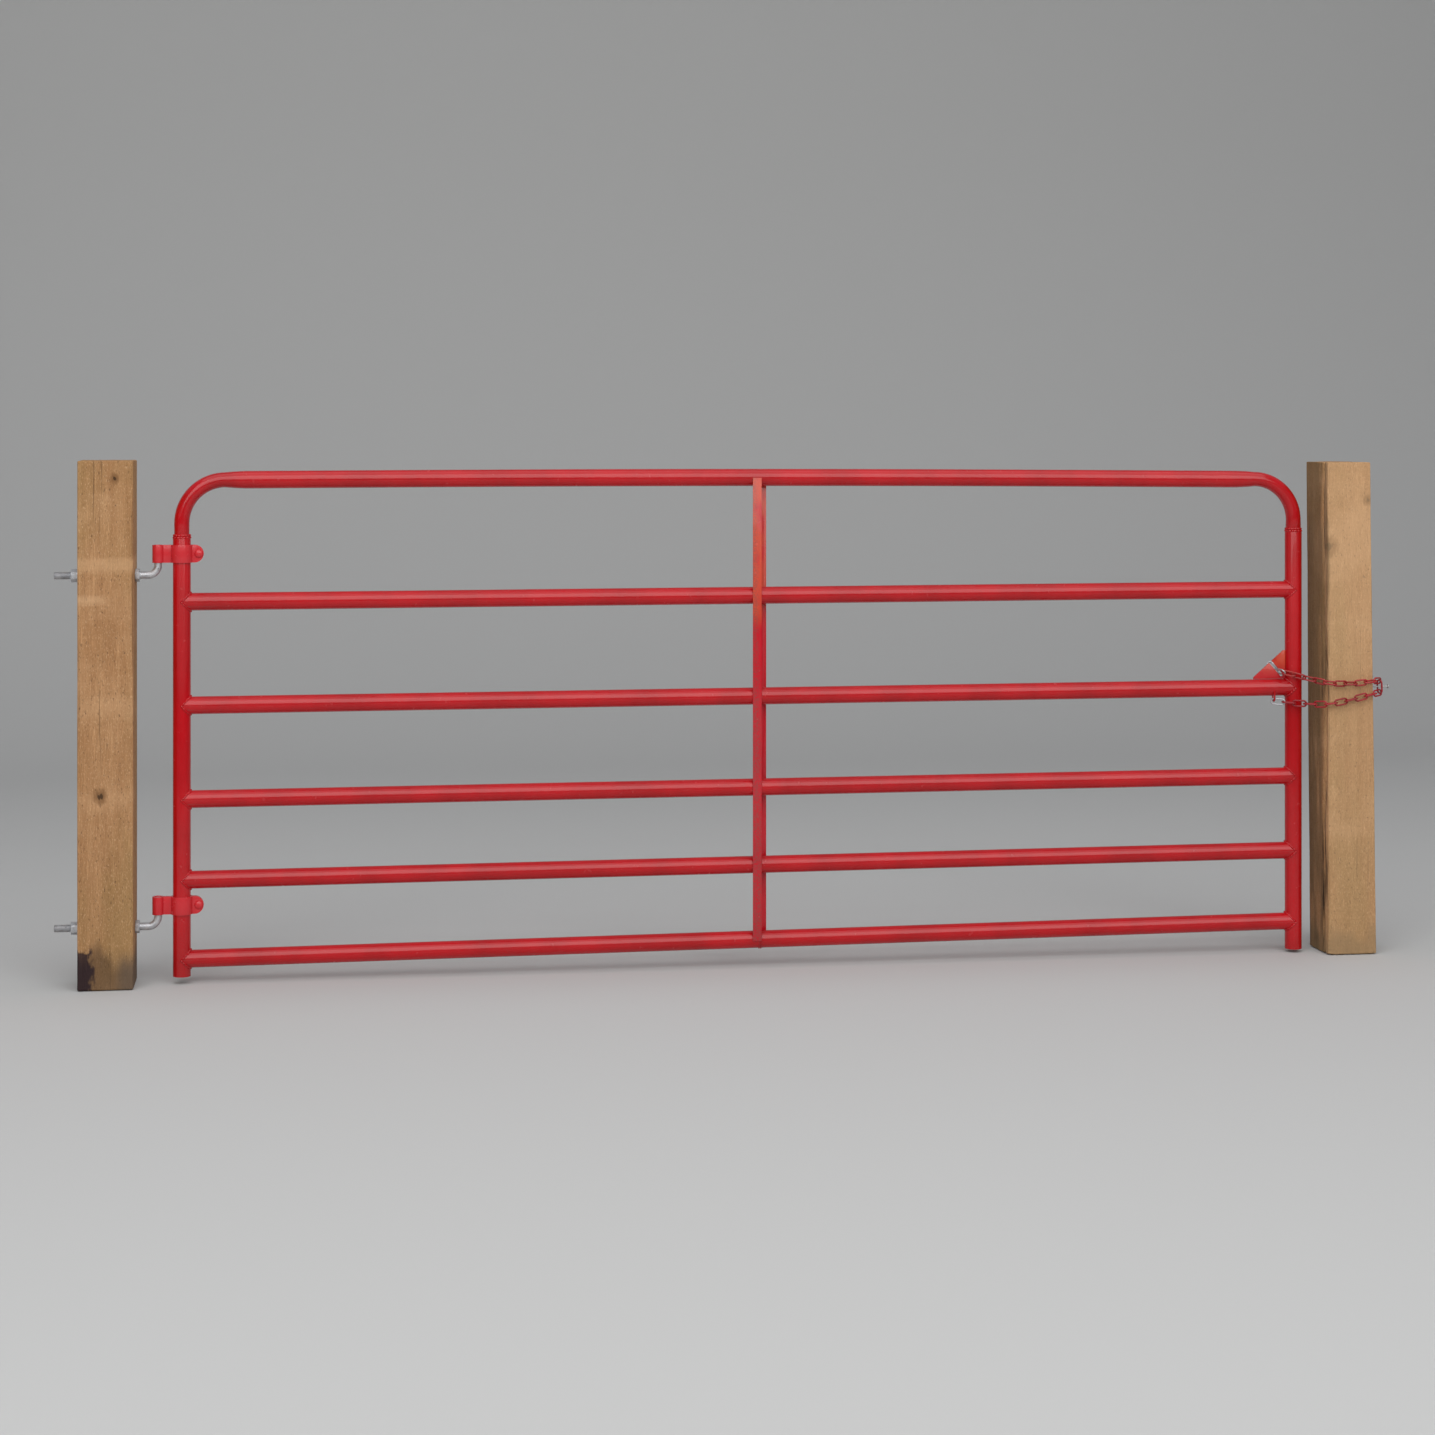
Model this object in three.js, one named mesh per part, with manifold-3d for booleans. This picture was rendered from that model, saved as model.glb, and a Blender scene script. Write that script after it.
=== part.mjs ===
// A six-rail livestock panel gate, hung on two hook bolts between square timber posts and held
// shut by a chain that is looped over a nail in the latch post.
// Millimetres. The origin is the centre of the hinge post's foot, +X runs to the latch post,
// +Y to the back of the gate and +Z up.

import * as THREE from 'three';
import { mergeVertices } from 'three/addons/utils/BufferGeometryUtils.js';
import Module from 'manifold-3d';

const wasm = await Module();
wasm.setup();

// Fits. Parts that touch keep FIT_GAP between them. Round sections have this many flat sides.
const FIT_GAP = 0.3;
const ROUND_SIDES = 20;
const CUTTER_SIDES = 24;

// Posts, sawn 6 x 6 timber.
const POST_WIDTH = 136.5;
const HINGE_POST_HEIGHT = 1307;
const LATCH_POST_HEIGHT = 1296;
const LATCH_POST_LEFT = 3142;
const LATCH_POST_TOP_WIDTH = 120;
const LATCH_POST_TWIST = 10;

// Gate frame, 1-3/4 in round tube.
const TUBE_RADIUS = 22.225;
const TUBE_WALL = 1.65;
const HINGE_STILE_X = 182;
const LATCH_STILE_X = 3073;
const HINGE_STILE_FOOT = 18;
const LATCH_STILE_FOOT = 8;
const STILE_TOP = 1112;
const TOP_RAIL_ENDS = [1257, 1250];
const TOP_RAIL_BOW = 5;
const BEND_RADIUS = 108;
const NECK_LENGTH = 30;
const NECK_RADIUS = 19.8;
const SHOULDER_INSET = 0.4;
const SHOULDER_HEIGHT = 4;
// Height of each straight rail at its hinge end and at its latch end.
const RAILS = {
  rail_2: [952.5, 958],
  rail_3: [693.5, 699],
  rail_4: [459, 465],
  rail_5: [257.5, 268],
  rail_6: [60, 81],
};

// Centre brace, a rolled Z section.
const BRACE_X = 1643;
const BRACE_METAL = 3;
const BRACE_FLANGE = 19.5;

// Hinges: 3/4 in hook bolts, clamped strap eyes.
const PIN_X = 124;
const PIN_RADIUS = 9.525;
const HOOK_END_X = -129.5;
const HOOK_BEND = 24;
const HINGES = {
  upper: { strap: 1073, rod: 1020 },
  lower: { strap: 195.5, rod: 144 },
};
const STRAP_HEIGHT = 44.5;
const STRAP_METAL = 4.5;
const EYE_RADIUS = 10;
const STRAP_PINCH = 1.2;
const STRAP_SLACK = 0.15;
const TAIL_GAP = 1.5;
const TAIL_LENGTH = 54;
const STRAP_BOLT_X = 42;
const STRAP_BOLT_RADIUS = 4.76;
const STRAP_HEAD_RADIUS = 11;
const STRAP_HEAD_RISE = 5.5;
const STRAP_NUT_FLATS = 14.3;
const STRAP_NUT_THICK = 8;
const HOOK_NUT_FLATS = 28.6;
const HOOK_NUT_THICK = 16;
const JAM_NUT_THICK = 10.5;
const WASHER_RADIUS = 22;
const WASHER_THICK = 3.7;

// Gusset plate with the chain slot.
const GUSSET_METAL = 5;
const GUSSET_WIDTH = 87;
const GUSSET_HEIGHT = 76;
const GUSSET_TIP = 5;
const SLOT_CENTRE = [3032.2, 741.2];
const SLOT_WIDTH = 9;
const SLOT_REACH = 11.5;

// Chain and what holds it.
const WIRE_RADIUS = 2.25;
const LINK_BEND = 7.4;
const LINK_LENGTH = 34.6;
// Each link of the upper strand turns this many degrees more about the chain's line.
const CHAIN_TWIST = -3.2;
const TWIST_FROM = 13;
const EYE_X = 3015;
const EYE_Y = -12.5;
const EYE_WIRE_Z = 664;
const EYE_LEG = 24;
const NAIL_RADIUS = 2.05;
const NAIL_Y = -64;
const NAIL_Z = 704;
const NAIL_DEPTH = 45;
const NAIL_OUT = 38;
const NAIL_TIP = 6;
const NAIL_HEAD_THICK = 2;
// How far the tapered post's side has drawn in at the nail's height.
const NAIL_FACE_INSET = 8;
const NAIL_HEAD_RADIUS = 5.6;
// Where each link hangs in the one before it, from the eye under rail_3, along the front of the
// latch post, round the nail and back to the gusset's slot.
const CHAIN_JOINTS = [
  [3012.2, -12.5, 664], [3037.3, -24.7, 662.7], [3062.8, -35.9, 660.5], [3089, -45.5, 659.5],
  [3111.8, -61.6, 659.5], [3132.6, -80.2, 661], [3160.2, -82, 664], [3187.7, -82, 669],
  [3215, -82, 675], [3242.1, -83, 681.5], [3268.5, -78.5, 686.9], [3287, -65.5, 688.5],
  [3286.2, -64.4, 719], [3268.4, -78.8, 720.5], [3241.4, -83, 717.6], [3213.6, -82, 715],
  [3185.7, -82, 714.6], [3157.8, -82, 715], [3130.2, -79.4, 718.6], [3109.6, -61, 722.8],
  [3087, -45.5, 728.2], [3062, -35, 735.3], [3040.8, -17.7, 740.4], [3028.6, 7.4, 741.6],
  [3016, 24.5, 760.6],
];

const STEEL_RED = { color: 0xb8081f, roughness: 0.32, metalness: 0.1 };
const GALVANISED = { color: 0xb9bbbd, roughness: 0.45, metalness: 0.85 };
const TIMBER = { color: 0xb88c62, roughness: 0.85, metalness: 0 };

const X_AXIS = new THREE.Vector3(1, 0, 0);
const Y_AXIS = new THREE.Vector3(0, 1, 0);
const Z_AXIS = new THREE.Vector3(0, 0, 1);

const gate = new THREE.Group();

function addMesh(name, geometry, finish) {
  const mesh = new THREE.Mesh(geometry, new THREE.MeshStandardMaterial(finish));
  mesh.name = name;
  gate.add(mesh);
  return mesh;
}

// A closed geometry as a solid that can be cut and joined.
function toSolid(geometry) {
  const bare = geometry.clone();
  bare.deleteAttribute('normal');
  bare.deleteAttribute('uv');
  const merged = mergeVertices(bare, 1e-3);
  return new wasm.Manifold(new wasm.Mesh({
    numProp: 3,
    vertProperties: new Float32Array(merged.attributes.position.array),
    triVerts: new Uint32Array(merged.index.array),
  }));
}

function toGeometry(solid) {
  const { vertProperties, triVerts } = solid.getMesh();
  const geometry = new THREE.BufferGeometry();
  geometry.setAttribute('position', new THREE.BufferAttribute(vertProperties, 3));
  geometry.setIndex(new THREE.BufferAttribute(triVerts, 1));
  return geometry;
}

// Turns a geometry that stands on the origin along +Z so that it runs from one point to another.
function stretchFrom(geometry, from, to) {
  const way = to.clone().sub(from).normalize();
  geometry.applyQuaternion(new THREE.Quaternion().setFromUnitVectors(Z_AXIS, way));
  return geometry.translate(from.x, from.y, from.z);
}

function ring(outer, inner, depth, sides) {
  const shape = new THREE.Shape().absarc(0, 0, outer, 0, 2 * Math.PI, false);
  shape.holes.push(new THREE.Path().absarc(0, 0, inner, 0, 2 * Math.PI, true));
  return new THREE.ExtrudeGeometry(shape, { depth, bevelEnabled: false, curveSegments: sides / 2 });
}

function tubeBetween(from, to) {
  const inner = TUBE_RADIUS - TUBE_WALL;
  return stretchFrom(ring(TUBE_RADIUS, inner, from.distanceTo(to), ROUND_SIDES), from, to);
}

// A solid round bar between two points, used as a pin, a shank or a cutter.
function barBetween(from, to, radius, sides = CUTTER_SIDES) {
  const shape = new THREE.Shape().absarc(0, 0, radius, 0, 2 * Math.PI, false);
  const settings = { depth: from.distanceTo(to), bevelEnabled: false, curveSegments: sides / 2 };
  return toSolid(stretchFrom(new THREE.ExtrudeGeometry(shape, settings), from, to));
}

function blockBetween(low, high) {
  const size = high.clone().sub(low);
  const middle = low.clone().add(high).multiplyScalar(0.5);
  const box = new THREE.BoxGeometry(size.x, size.y, size.z);
  return toSolid(box.translate(middle.x, middle.y, middle.z));
}

// A path through chosen stations, with one step of an extrusion from each station to the next.
class StationPath extends THREE.Curve {
  constructor(stations) {
    super();
    this.stations = stations;
  }
  getPoint(t) {
    const place = t * (this.stations.length - 1);
    const index = Math.min(Math.floor(place), this.stations.length - 2);
    return this.stations[index].clone().lerp(this.stations[index + 1], place - index);
  }
  getPointAt(u) {
    return this.getPoint(u);
  }
  getTangentAt(u) {
    return this.getTangent(u);
  }
}

function sweep(shape, stations, sides) {
  return new THREE.ExtrudeGeometry(shape, {
    extrudePath: new StationPath(stations),
    steps: stations.length - 1,
    curveSegments: sides / 2,
    bevelEnabled: false,
  });
}

// Stations on an arc about a centre, between two directions that stand at right angles.
function arcStations(centre, fromWay, toWay, radius, count) {
  const stations = [];
  for (let i = 0; i <= count; i++) {
    const angle = (i / count) * Math.PI / 2;
    const station = centre.clone().addScaledVector(fromWay, radius * Math.cos(angle));
    stations.push(station.addScaledVector(toWay, radius * Math.sin(angle)));
  }
  return stations;
}

const at = (x, y, z) => new THREE.Vector3(x, y, z);

// Stiles: the upright tubes at the two ends of the gate.
function stileCutter(x) {
  return barBetween(at(x, 0, -50), at(x, 0, STILE_TOP + 100), TUBE_RADIUS + FIT_GAP);
}
const stileCutters = [stileCutter(HINGE_STILE_X), stileCutter(LATCH_STILE_X)];
const hingeStile = tubeBetween(at(HINGE_STILE_X, 0, HINGE_STILE_FOOT), at(HINGE_STILE_X, 0, STILE_TOP));
const latchStile = tubeBetween(at(LATCH_STILE_X, 0, LATCH_STILE_FOOT), at(LATCH_STILE_X, 0, STILE_TOP));
addMesh('hinge_stile', hingeStile, STEEL_RED);
addMesh('latch_stile', latchStile, STEEL_RED);

// Top rail: bent down at both ends, with a necked spigot that slips into each stile.
function topRail() {
  const [hingeEnd, latchEnd] = TOP_RAIL_ENDS;
  const hingeBend = at(HINGE_STILE_X + BEND_RADIUS, 0, hingeEnd - BEND_RADIUS);
  const latchBend = at(LATCH_STILE_X - BEND_RADIUS, 0, latchEnd - BEND_RADIUS);
  const left = X_AXIS.clone().negate();
  const stations = [at(HINGE_STILE_X, 0, STILE_TOP + FIT_GAP)];
  stations.push(...arcStations(hingeBend, left, Z_AXIS, BEND_RADIUS, 8));
  for (const share of [0.25, 0.5, 0.75]) {
    const station = stations.at(-1).clone();
    const run = latchBend.x - hingeBend.x;
    station.x = hingeBend.x + share * run;
    station.z = hingeEnd + share * (latchEnd - hingeEnd) + TOP_RAIL_BOW * Math.sin(share * Math.PI);
    stations.push(station);
  }
  stations.push(...arcStations(latchBend, Z_AXIS, X_AXIS, BEND_RADIUS, 8));
  stations.push(at(LATCH_STILE_X, 0, STILE_TOP + FIT_GAP));
  const shape = new THREE.Shape().absarc(0, 0, TUBE_RADIUS, 0, 2 * Math.PI, false);
  const bore = TUBE_RADIUS - TUBE_WALL;
  shape.holes.push(new THREE.Path().absarc(0, 0, bore, 0, 2 * Math.PI, true));
  let rail = toSolid(sweep(shape, stations, ROUND_SIDES));
  for (const x of [HINGE_STILE_X, LATCH_STILE_X]) rail = rail.add(spigot(x));
  return rail;
}

function spigot(x) {
  const bore = NECK_RADIUS - TUBE_WALL;
  const shoulder = STILE_TOP + FIT_GAP;
  const neck = ring(NECK_RADIUS, bore, NECK_LENGTH, ROUND_SIDES).translate(x, 0, shoulder - NECK_LENGTH);
  const outer = TUBE_RADIUS - SHOULDER_INSET;
  const step = ring(outer, bore, SHOULDER_HEIGHT, ROUND_SIDES).translate(x, 0, shoulder);
  return toSolid(neck).add(toSolid(step));
}
addMesh('top_rail', toGeometry(topRail()), STEEL_RED);

// Straight rails, saddle cut at both ends to sit against the stiles.
const railCutters = [];
for (const [name, [hingeZ, latchZ]] of Object.entries(RAILS)) {
  const from = at(HINGE_STILE_X, 0, hingeZ);
  const to = at(LATCH_STILE_X, 0, latchZ);
  const rail = toSolid(tubeBetween(from, to)).subtract(stileCutters[0]).subtract(stileCutters[1]);
  addMesh(name, toGeometry(rail), STEEL_RED);
  railCutters.push(barBetween(from, to, TUBE_RADIUS + FIT_GAP));
}

// Height of a rail's centre line at a place along the gate.
function railHeight([hingeZ, latchZ], x) {
  const share = (x - HINGE_STILE_X) / (LATCH_STILE_X - HINGE_STILE_X);
  return hingeZ + share * (latchZ - hingeZ);
}

// Centre brace: front flange to the left of the web, back flange to its right. The middle rails
// pass through round holes in the web, and its ends are notched round the top and bottom rails.
function centreBrace() {
  const depth = TUBE_RADIUS + FIT_GAP + BRACE_METAL;
  const half = BRACE_METAL / 2;
  const outline = [
    [-half - BRACE_FLANGE, -depth], [half, -depth], [half, depth - BRACE_METAL],
    [half + BRACE_FLANGE, depth - BRACE_METAL], [half + BRACE_FLANGE, depth], [-half, depth],
    [-half, BRACE_METAL - depth], [-half - BRACE_FLANGE, BRACE_METAL - depth],
  ];
  const section = new THREE.Shape(outline.map(([x, y]) => new THREE.Vector2(x, y)));
  const foot = railHeight(RAILS.rail_6, BRACE_X);
  const head = railHeight(TOP_RAIL_ENDS, BRACE_X) + TOP_RAIL_BOW;
  const bar = new THREE.ExtrudeGeometry(section, { depth: head - foot, bevelEnabled: false });
  let brace = toSolid(bar.translate(BRACE_X, 0, foot));
  for (const cutter of railCutters) brace = brace.subtract(cutter);
  const topFrom = at(BRACE_X - 200, 0, head);
  return brace.subtract(barBetween(topFrom, at(BRACE_X + 200, 0, head), TUBE_RADIUS + FIT_GAP));
}
addMesh('centre_brace', toGeometry(centreBrace()), STEEL_RED);

// Gusset: a triangular plate in the corner over rail_3, with a slot in from its long edge that
// takes a chain link edge on.
function gusset() {
  const right = LATCH_STILE_X - TUBE_RADIUS - FIT_GAP;
  const bottom = railHeight(RAILS.rail_3, right) + TUBE_RADIUS + FIT_GAP;
  const left = right - GUSSET_WIDTH;
  const top = bottom + GUSSET_HEIGHT;
  const outline = [
    [left, bottom], [right, bottom], [right, top],
    [right - GUSSET_TIP, top], [left, bottom + GUSSET_TIP],
  ];
  const shape = new THREE.Shape(outline.map(([x, z]) => new THREE.Vector2(x, z)));
  const plate = new THREE.ExtrudeGeometry(shape, { depth: GUSSET_METAL, bevelEnabled: false });
  plate.rotateX(Math.PI / 2).translate(0, GUSSET_METAL / 2, 0);
  const [slotX, slotZ] = SLOT_CENTRE;
  const inward = at(GUSSET_HEIGHT, 0, -GUSSET_WIDTH).normalize();
  const slotEnd = at(slotX, 0, slotZ).addScaledVector(inward, SLOT_REACH);
  const slotMouth = at(slotX, 0, slotZ).addScaledVector(inward, -4 * SLOT_REACH);
  const run = slotEnd.distanceTo(slotMouth);
  const slot = new THREE.BoxGeometry(SLOT_WIDTH, 4 * GUSSET_METAL, run).translate(0, 0, run / 2);
  slot.rotateY(Math.atan2(inward.x, inward.z)).translate(slotMouth.x, 0, slotMouth.z);
  const back = 2 * GUSSET_METAL;
  const roundFrom = at(slotEnd.x, -back, slotEnd.z);
  const roundEnd = barBetween(roundFrom, at(slotEnd.x, back, slotEnd.z), SLOT_WIDTH / 2);
  return toSolid(plate).subtract(toSolid(slot)).subtract(roundEnd);
}
addMesh('chain_gusset', toGeometry(gusset()), STEEL_RED);

// Chain eye: a round-wire staple welded under rail_3 that keeps the first link.
function chainEye() {
  const bend = at(EYE_X, EYE_Y, EYE_WIRE_Z + LINK_BEND);
  const down = Z_AXIS.clone().negate();
  const front = Y_AXIS.clone().negate();
  const stations = [at(EYE_X, EYE_Y - LINK_BEND, bend.z + EYE_LEG)];
  stations.push(...arcStations(bend, front, down, LINK_BEND, 4));
  stations.push(...arcStations(bend, down, Y_AXIS, LINK_BEND, 4).slice(1));
  stations.push(at(EYE_X, EYE_Y + LINK_BEND, bend.z + EYE_LEG));
  const wire = new THREE.Shape().absarc(0, 0, WIRE_RADIUS, 0, 2 * Math.PI, false);
  return toSolid(sweep(wire, stations, 8)).subtract(railCutters[1]);
}
addMesh('chain_eye', toGeometry(chainEye()), STEEL_RED);

// Posts. The hinge post is square and bored for the hook bolts. The latch post tapers and
// twists a little towards its top, and holds the nail.
function hingePost() {
  const half = POST_WIDTH / 2;
  let post = blockBetween(at(-half, -half, 0), at(half, half, HINGE_POST_HEIGHT));
  for (const { rod } of Object.values(HINGES)) {
    post = post.subtract(barBetween(at(-half - 1, 0, rod), at(half + 1, 0, rod), PIN_RADIUS + 2 * FIT_GAP));
  }
  return post;
}
addMesh('hinge_post', toGeometry(hingePost()), TIMBER);

function latchPost() {
  const half = POST_WIDTH / 2;
  const box = new THREE.BoxGeometry(POST_WIDTH, POST_WIDTH, LATCH_POST_HEIGHT);
  box.translate(LATCH_POST_LEFT + half, 0, LATCH_POST_HEIGHT / 2);
  const corners = box.attributes.position;
  for (let i = 0; i < corners.count; i++) {
    const isTop = corners.getZ(i) > 0;
    const isRight = corners.getX(i) > LATCH_POST_LEFT + half;
    const isBack = corners.getY(i) > 0;
    if (isTop && isRight) corners.setX(i, LATCH_POST_LEFT + LATCH_POST_TOP_WIDTH);
    if (isTop && isBack) corners.setX(i, corners.getX(i) - LATCH_POST_TWIST);
  }
  const face = LATCH_POST_LEFT + POST_WIDTH;
  const holeFrom = at(face - NAIL_DEPTH - 2 * NAIL_FACE_INSET, NAIL_Y, NAIL_Z);
  const hole = barBetween(holeFrom, at(face, NAIL_Y, NAIL_Z), NAIL_RADIUS + FIT_GAP);
  return toSolid(box).subtract(hole);
}
addMesh('latch_post', toGeometry(latchPost()), TIMBER);

// Hinges, upper and lower.
for (const [side, { strap, rod }] of Object.entries(HINGES)) {
  addMesh(`${side}_hinge_strap`, toGeometry(hingeStrap(strap)), STEEL_RED);
  addMesh(`${side}_strap_bolt`, toGeometry(strapBolt(strap)), STEEL_RED);
  addMesh(`${side}_strap_nut`, strapNut(strap), STEEL_RED);
  addMesh(`${side}_hook_bolt`, hookBolt(strap, rod), GALVANISED);
  const postFace = POST_WIDTH / 2 + FIT_GAP;
  const nutFace = postFace + WASHER_THICK + FIT_GAP;
  const jamFace = postFace + JAM_NUT_THICK;
  const washer = hookRing(roundShape(WASHER_RADIUS), WASHER_THICK, -postFace, rod);
  const outerNut = hookRing(hexShape(HOOK_NUT_FLATS), HOOK_NUT_THICK, -nutFace, rod);
  const innerNut = hookRing(hexShape(HOOK_NUT_FLATS), JAM_NUT_THICK, jamFace, rod);
  addMesh(`${side}_outer_washer`, washer, GALVANISED);
  addMesh(`${side}_outer_nut`, outerNut, GALVANISED);
  addMesh(`${side}_inner_nut`, innerNut, GALVANISED);
}

// One strip folded round the pin, pinched, spread round the stile and closed as two flat tails.
function hingeStrap(height) {
  const low = height - STRAP_HEIGHT / 2;
  const high = height + STRAP_HEIGHT / 2;
  const post = (x, radius) => barBetween(at(x, 0, low - 1), at(x, 0, high + 1), radius);
  const wall = (x0, x1, half) => blockBetween(at(x0, -half, low - 1), at(x1, half, high + 1));
  const stile = HINGE_STILE_X;
  const end = stile + TAIL_LENGTH;
  const bore = TUBE_RADIUS + FIT_GAP;
  const outside = post(PIN_X, EYE_RADIUS + STRAP_METAL)
    .add(wall(PIN_X, stile, STRAP_PINCH + STRAP_METAL))
    .add(post(stile, bore + STRAP_METAL))
    .add(wall(stile, end, TAIL_GAP + STRAP_METAL));
  const inside = post(PIN_X, EYE_RADIUS)
    .add(wall(PIN_X, stile, STRAP_PINCH))
    .add(post(stile, bore + STRAP_SLACK))
    .add(wall(stile, end + 1, TAIL_GAP));
  const tailRound = STRAP_HEIGHT / 2;
  const tail = end - tailRound;
  const reach = 2 * TUBE_RADIUS;
  const trim = blockBetween(at(PIN_X - reach, -reach, low), at(tail, reach, high))
    .add(barBetween(at(tail, -reach, height), at(tail, reach, height), tailRound));
  const boltX = stile + STRAP_BOLT_X;
  const boltRadius = STRAP_BOLT_RADIUS + FIT_GAP;
  const boltHole = barBetween(at(boltX, -reach, height), at(boltX, reach, height), boltRadius);
  return outside.subtract(inside).intersect(trim).subtract(boltHole);
}

// Carriage bolt through both tails, with its round head at the front.
function strapBolt(height) {
  const x = HINGE_STILE_X + STRAP_BOLT_X;
  const tailFace = TAIL_GAP + STRAP_METAL + FIT_GAP;
  const length = 2 * tailFace + STRAP_NUT_THICK + 4;
  const profile = [new THREE.Vector2(0, 0), new THREE.Vector2(STRAP_BOLT_RADIUS, 0)];
  profile.push(new THREE.Vector2(STRAP_BOLT_RADIUS, length));
  for (let i = 0; i <= 4; i++) {
    const angle = (i / 4) * Math.PI / 2;
    const rise = STRAP_HEAD_RISE * Math.sin(angle);
    profile.push(new THREE.Vector2(STRAP_HEAD_RADIUS * Math.cos(angle), length + rise));
  }
  profile.at(-1).x = 0;
  const bolt = new THREE.LatheGeometry(profile, 12);
  return toSolid(bolt.rotateX(Math.PI).translate(x, length - tailFace, height));
}

function strapNut(height) {
  const shape = hexShape(STRAP_NUT_FLATS);
  shape.holes.push(new THREE.Path().absarc(0, 0, STRAP_BOLT_RADIUS + FIT_GAP, 0, 2 * Math.PI, true));
  const settings = { depth: STRAP_NUT_THICK, bevelEnabled: false, curveSegments: 6 };
  const nut = new THREE.ExtrudeGeometry(shape, settings);
  const face = TAIL_GAP + STRAP_METAL + FIT_GAP;
  return nut.rotateX(-Math.PI / 2).translate(HINGE_STILE_X + STRAP_BOLT_X, face, height);
}

function hexShape(flats) {
  const corner = flats / Math.sqrt(3);
  const points = [];
  for (let i = 0; i < 6; i++) {
    const angle = (i / 6) * 2 * Math.PI;
    points.push(new THREE.Vector2(corner * Math.cos(angle), corner * Math.sin(angle)));
  }
  return new THREE.Shape(points);
}

function roundShape(radius) {
  return new THREE.Shape().absarc(0, 0, radius, 0, 2 * Math.PI, false);
}

// A nut or washer on a hook bolt's level rod. It fills the depth to the left of x.
function hookRing(shape, depth, x, rod) {
  shape.holes.push(new THREE.Path().absarc(0, 0, PIN_RADIUS + FIT_GAP, 0, 2 * Math.PI, true));
  const settings = { depth, bevelEnabled: false, curveSegments: ROUND_SIDES / 2 };
  const body = new THREE.ExtrudeGeometry(shape, settings);
  return body.rotateY(-Math.PI / 2).translate(x, 0, rod);
}

// Hook bolt: a level rod through the post, bent up into the hinge pin.
function hookBolt(strap, rod) {
  const pinTop = strap + STRAP_HEIGHT / 2 - 2;
  const bend = at(PIN_X - HOOK_BEND, 0, rod + HOOK_BEND);
  const stations = [at(HOOK_END_X, 0, rod)];
  stations.push(...arcStations(bend, Z_AXIS.clone().negate(), X_AXIS, HOOK_BEND, 6));
  stations.push(at(PIN_X, 0, pinTop));
  return sweep(roundShape(PIN_RADIUS), stations, 16);
}

// Nail that the chain is looped over, driven into the latch post's outer side.
function chainNail() {
  const face = LATCH_POST_LEFT + POST_WIDTH - NAIL_FACE_INSET;
  const length = NAIL_DEPTH + NAIL_OUT;
  const top = length + NAIL_HEAD_THICK;
  const profile = [
    [0, 0], [NAIL_RADIUS, NAIL_TIP], [NAIL_RADIUS, length],
    [NAIL_HEAD_RADIUS, length], [NAIL_HEAD_RADIUS, top], [0, top],
  ];
  const nail = new THREE.LatheGeometry(profile.map(([r, h]) => new THREE.Vector2(r, h)), 10);
  return nail.rotateZ(-Math.PI / 2).translate(face - NAIL_DEPTH, NAIL_Y, NAIL_Z);
}
addMesh('chain_nail', chainNail(), GALVANISED);

// One link: a ring of round wire stretched along X.
function linkGeometry() {
  const geometry = new THREE.TorusGeometry(LINK_BEND, WIRE_RADIUS, 6, 12).rotateZ(Math.PI / 12);
  const stretch = LINK_LENGTH / 2 - LINK_BEND * Math.cos(Math.PI / 12);
  const points = geometry.attributes.position;
  for (let i = 0; i < points.count; i++) points.setX(i, points.getX(i) + Math.sign(points.getX(i)) * stretch);
  return geometry;
}

// Lays one link from each joint to the next. Each is a quarter turn about the chain's line from
// its neighbours, so that they hook through one another.
function layChain() {
  let across = Z_AXIS.clone();
  let before = X_AXIS.clone();
  for (let i = 0; i < CHAIN_JOINTS.length - 1; i++) {
    const start = at(...CHAIN_JOINTS[i]);
    const end = at(...CHAIN_JOINTS[i + 1]);
    const along = end.clone().sub(start).normalize();
    if (i >= TWIST_FROM) across.applyAxisAngle(before, THREE.MathUtils.degToRad(CHAIN_TWIST));
    across.applyQuaternion(new THREE.Quaternion().setFromUnitVectors(before, along));
    before = along;
    const side = i % 2 ? along.clone().cross(across) : across.clone();
    const isPlated = i === 0 || i >= CHAIN_JOINTS.length - 3;
    const name = `chain_link_${String(i + 1).padStart(2, '0')}`;
    const link = addMesh(name, linkGeometry(), isPlated ? GALVANISED : STEEL_RED);
    const turn = new THREE.Matrix4().makeBasis(along, side, along.clone().cross(side));
    link.quaternion.setFromRotationMatrix(turn);
    link.position.copy(start).add(end).multiplyScalar(0.5);
  }
}
layChain();

export default gate;
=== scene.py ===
# A red six-rail livestock gate between two sawn timber posts, as it hangs shut on its chain.
import math

import bpy
import numpy
from mathutils import Matrix, Vector


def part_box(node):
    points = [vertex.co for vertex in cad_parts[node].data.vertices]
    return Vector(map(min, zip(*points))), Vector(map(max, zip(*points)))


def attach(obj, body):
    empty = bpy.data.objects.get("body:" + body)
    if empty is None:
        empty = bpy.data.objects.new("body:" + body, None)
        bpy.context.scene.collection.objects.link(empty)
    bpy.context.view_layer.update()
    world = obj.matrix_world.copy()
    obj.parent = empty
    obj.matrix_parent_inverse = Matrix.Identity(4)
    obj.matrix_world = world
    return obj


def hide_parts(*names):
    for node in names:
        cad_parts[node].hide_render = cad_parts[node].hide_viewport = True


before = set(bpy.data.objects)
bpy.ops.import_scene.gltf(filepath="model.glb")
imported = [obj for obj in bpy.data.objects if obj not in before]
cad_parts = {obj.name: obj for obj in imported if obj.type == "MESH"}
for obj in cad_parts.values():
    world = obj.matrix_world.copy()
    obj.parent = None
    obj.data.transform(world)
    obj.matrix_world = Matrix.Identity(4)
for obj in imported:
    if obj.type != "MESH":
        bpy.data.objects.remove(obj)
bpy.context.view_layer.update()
bpy.ops.object.select_all(action="DESELECT")

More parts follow.
